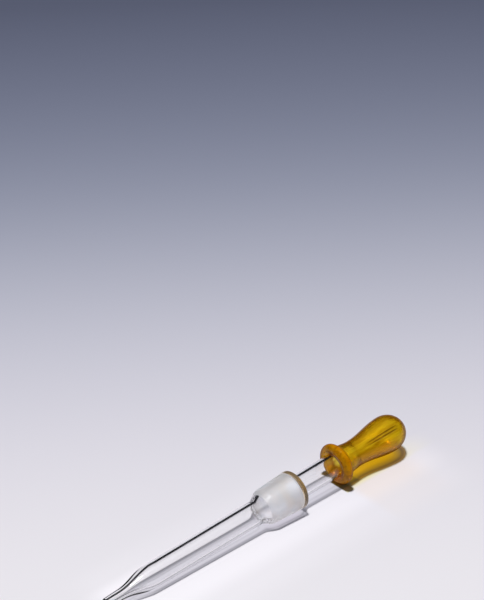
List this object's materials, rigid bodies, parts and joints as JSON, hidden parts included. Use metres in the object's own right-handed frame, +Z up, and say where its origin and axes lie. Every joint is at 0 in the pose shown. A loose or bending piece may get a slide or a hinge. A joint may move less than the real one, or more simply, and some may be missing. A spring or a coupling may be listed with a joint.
{
  "type": "dropper pipette",
  "caption": "Glass dropper pipette lying on its side: drawn tip, straight tube, hollow ground stopper cone and an amber rubber teat.",
  "frame": {"origin": "on the surface the pipette lies on, under the middle of its bounding box", "axes": "+X from the tip towards the teat, +Z up; the pipette's own axis lies in the XZ plane and rises 2.45 degrees towards the teat"},
  "size_m": [0.1388, 0.0154, 0.0159],
  "materials": {
    "clear_glass": "clear and polished, with a frosted ground cone",
    "amber_rubber": "glossy, translucent"
  },
  "bodies": {
    "root": {"glass_pipette": "clear_glass", "rubber_teat": "amber_rubber"}
  },
  "joints": []
}
